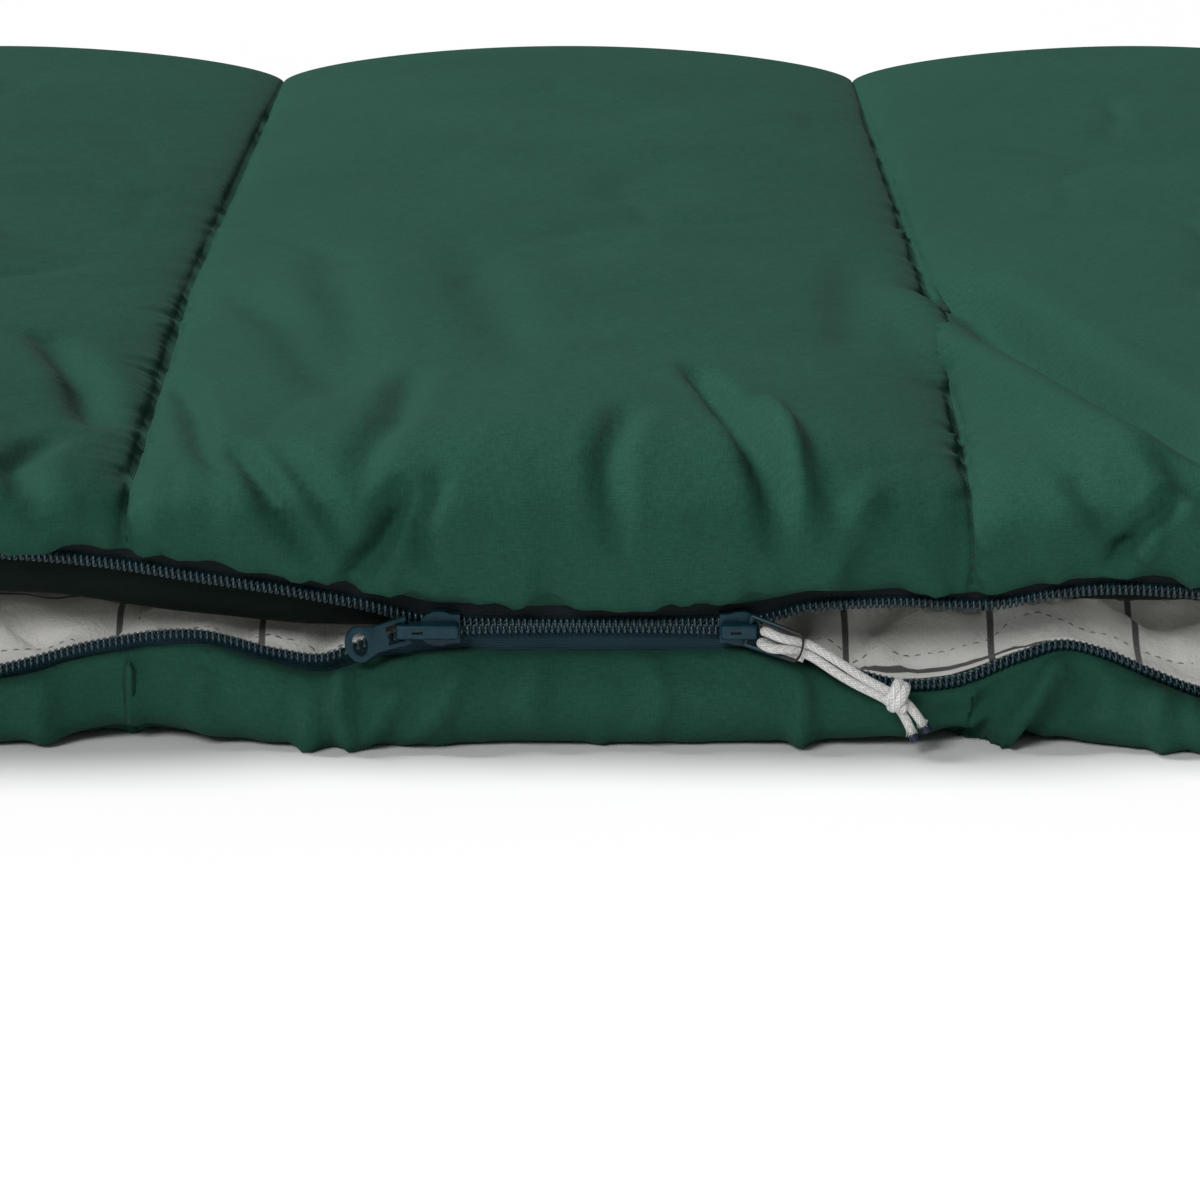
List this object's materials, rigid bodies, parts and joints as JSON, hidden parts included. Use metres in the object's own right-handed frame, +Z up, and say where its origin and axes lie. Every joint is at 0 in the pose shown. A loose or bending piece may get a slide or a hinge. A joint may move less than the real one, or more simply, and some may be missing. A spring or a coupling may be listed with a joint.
{
  "type": "sleeping bag",
  "caption": "Rectangular quilted sleeping bag laid flat, two quilts joined along one side, with a two-way coil zip, two locking sliders and a corded pull.",
  "frame": {"origin": "middle of the bag's flat underside, on the ground", "axes": "+X to the head end, -Y to the side with the long zip, +Z up; the sewn side is at +Y"},
  "size_m": [2.2834, 0.865, 0.095],
  "materials": {
    "shell_fabric": "dark green polycotton, fine plain weave",
    "lining_fabric": "pale grey brushed cotton with a dark window check",
    "wadding": "hollow-fibre wadding",
    "thread": "sewing thread",
    "webbing": "woven tape",
    "zip_tape": "woven zip tape",
    "zip_coil": "nylon coil, dark teal",
    "slider_metal": "semi-gloss petrol blue paint",
    "spring_steel": "spring steel",
    "cord": "white braided polyester cord",
    "cord_tip": "melted navy cord end"
  },
  "bodies": {
    "bottom_quilt": {"bottom_shell": "shell_fabric", "bottom_fill": "wadding", "bottom_lining": "lining_fabric", "bottom_quilting_thread": "thread", "bottom_lining_topstitch": "thread", "side_seam": "shell_fabric", "zip_tape_lower": "zip_tape", "zip_coil_lower": "zip_coil", "head_stop_lower": "zip_coil", "end_pin_lower": "zip_coil", "hanging_loop_near": "webbing", "hanging_loop_far": "webbing"},
    "top_quilt": {"top_shell": "shell_fabric", "top_fill": "wadding", "top_lining": "lining_fabric", "top_quilting_thread": "thread", "top_lining_topstitch": "thread", "draft_tube": "shell_fabric", "zip_tape_upper": "zip_tape", "zip_coil_upper": "zip_coil", "head_stop_upper": "zip_coil", "end_pin_upper": "zip_coil"},
    "foot_slider": {"foot_slider_body": "slider_metal", "foot_slider_crown": "slider_metal", "foot_slider_lock_spring": "spring_steel"},
    "foot_pull": {"foot_pull_tab": "slider_metal"},
    "head_slider": {"head_slider_body": "slider_metal", "head_slider_crown": "slider_metal", "head_slider_lock_spring": "spring_steel"},
    "head_pull": {"head_pull_loop": "slider_metal", "pull_cord_upper": "cord", "pull_cord_lower": "cord", "cord_knot": "cord", "cord_tip_upper": "cord_tip", "cord_tip_lower": "cord_tip"}
  },
  "joints": [
    {"name": "top_open", "type": "hinge", "parent": "bottom_quilt", "child": "top_quilt", "pos_m": [0, 0.425, 0.0475], "axis": [-1, 0, 0], "range_deg": [0, 180], "deforming": ["zip_tape_upper", "zip_coil_upper", "zip_tape_lower", "zip_coil_lower"]},
    {"name": "foot_slide", "type": "slide", "parent": "bottom_quilt", "child": "foot_slider", "axis": [1, 0, 0], "range_m": [-0.95, 0.035]},
    {"name": "head_slide", "type": "slide", "parent": "bottom_quilt", "child": "head_slider", "axis": [1, 0, 0], "range_m": [-0.035, 1.045]},
    {"name": "foot_pull_turn", "type": "hinge", "parent": "foot_slider", "child": "foot_pull", "pos_m": [-0.0429, -0.4233, 0.036], "axis": [-0.225, 0, 0.9744], "range_deg": [0, 108]},
    {"name": "head_pull_turn", "type": "hinge", "parent": "head_slider", "child": "head_pull", "pos_m": [0.0591, -0.4233, 0.036], "axis": [-0.2419, 0, -0.9703], "range_deg": [0, 76]}
  ]
}
